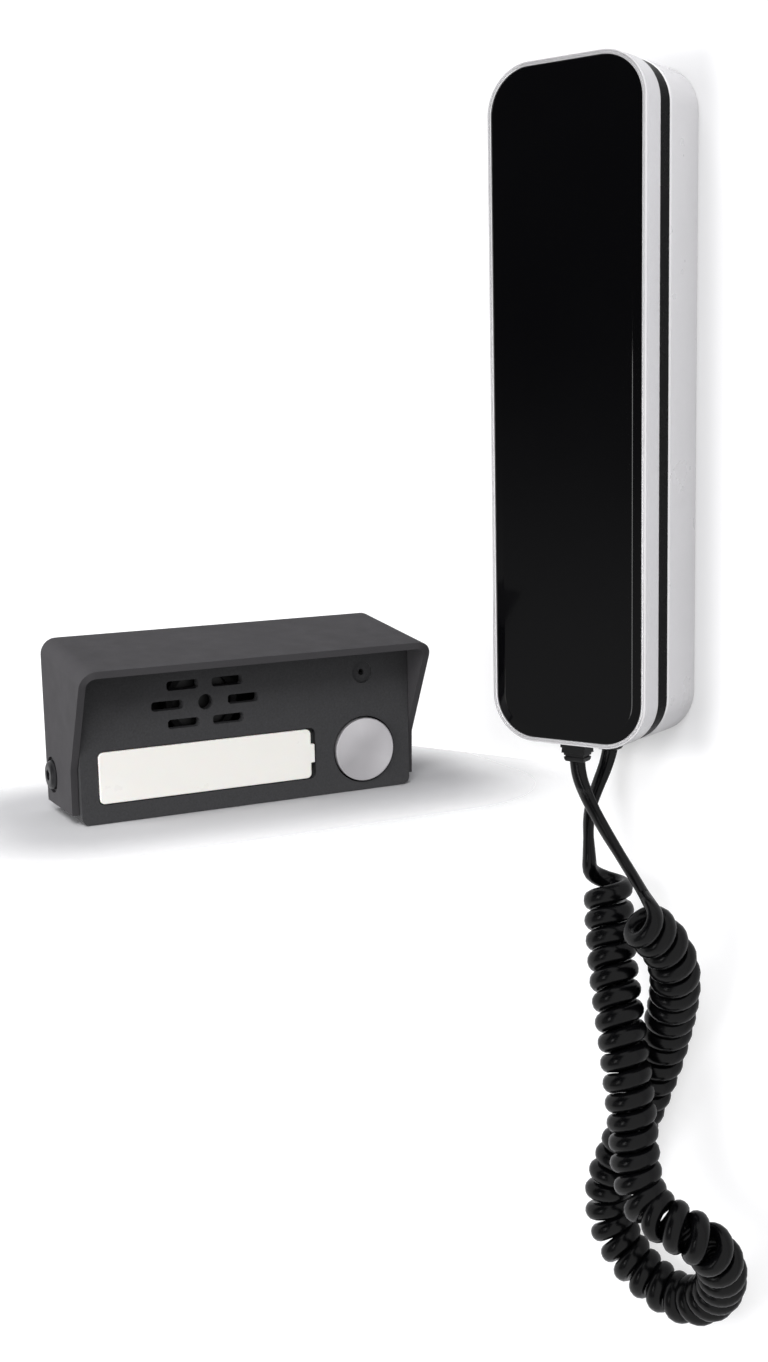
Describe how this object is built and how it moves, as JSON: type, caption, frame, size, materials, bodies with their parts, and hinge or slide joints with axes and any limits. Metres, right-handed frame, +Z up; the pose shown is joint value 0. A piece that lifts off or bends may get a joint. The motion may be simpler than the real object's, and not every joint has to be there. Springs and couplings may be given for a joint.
{
  "type": "door intercom",
  "caption": "Wall handset on a slim base with a curly cord, and a hooded outdoor door station with grille, name plate and call button.",
  "frame": {"origin": "centre of the base's back face, on the wall", "axes": "+Y into the wall, +Z up, +X to the right seen from the room"},
  "size_m": [0.1881, 0.1571, 0.4182],
  "materials": {
    "silver_plastic": "satin metallic paint",
    "black_gloss": "mirror gloss",
    "black_plastic": "satin",
    "grey_plastic": "matte",
    "charcoal_plastic": "fine matte texture",
    "charcoal_hood": "fine matte texture",
    "clear_cover": "gloss",
    "white_card": "matte",
    "satin_silver": "satin metallic paint",
    "steel": "satin",
    "black_rubber": "matte",
    "cord_black": "satin",
    "circuit_board": "satin",
    "component_black": "satin",
    "capsule_metal": "satin"
  },
  "bodies": {
    "wall_set": {"base_shell": "silver_plastic", "base_back": "grey_plastic", "base_screws": "steel", "base_pcb": "circuit_board", "hook_switch": "component_black", "buzzer": "component_black", "base_terminals": "component_black", "base_jack": "component_black", "base_plug": "black_plastic", "cord_tail_base": "cord_black", "cord_coil": "cord_black", "cord_tail_handset": "cord_black", "station_housing": "charcoal_plastic", "station_back": "charcoal_plastic", "station_hood": "charcoal_hood", "side_screws": "steel", "name_cover": "clear_cover", "name_card": "white_card", "call_switch": "component_black", "speaker_gasket": "black_rubber", "station_speaker": "component_black", "station_mic_boot": "black_rubber", "station_microphone": "capsule_metal", "station_pcb": "circuit_board", "station_terminals": "component_black"},
    "handset": {"front_panel": "black_gloss", "handset_frame": "silver_plastic", "handset_rear_shell": "black_plastic", "earpiece_capsule": "component_black", "microphone_boot": "black_rubber", "handset_microphone": "capsule_metal", "handset_screws": "steel", "unlock_switch": "component_black", "handset_pcb": "circuit_board", "handset_jack": "component_black", "handset_plug": "black_plastic"},
    "hook_plunger": {"hook_plunger": "grey_plastic"},
    "unlock_button": {"unlock_button": "grey_plastic"},
    "call_button": {"call_button": "satin_silver"}
  },
  "joints": [
    {"name": "handset_lift", "type": "slide", "parent": "wall_set", "child": "handset", "axis": [0, -0.8192, 0.5736], "range_m": [0, 0.1]},
    {"name": "hook_plunger_slide", "type": "slide", "parent": "wall_set", "child": "hook_plunger", "axis": [0, -1, 0], "range_m": [0, 0.003]},
    {"name": "unlock_press", "type": "slide", "parent": "handset", "child": "unlock_button", "axis": [0, -1, 0], "range_m": [0, 0.0008], "stiffness_N_per_m": 1500},
    {"name": "call_press", "type": "slide", "parent": "wall_set", "child": "call_button", "axis": [-0.8864, 0.463, 0], "range_m": [0, 0.0009], "stiffness_N_per_m": 2000}
  ],
  "couplings": [
    {"joint": "hook_plunger_slide", "follows": "handset_lift", "ratio": 0.03}
  ]
}
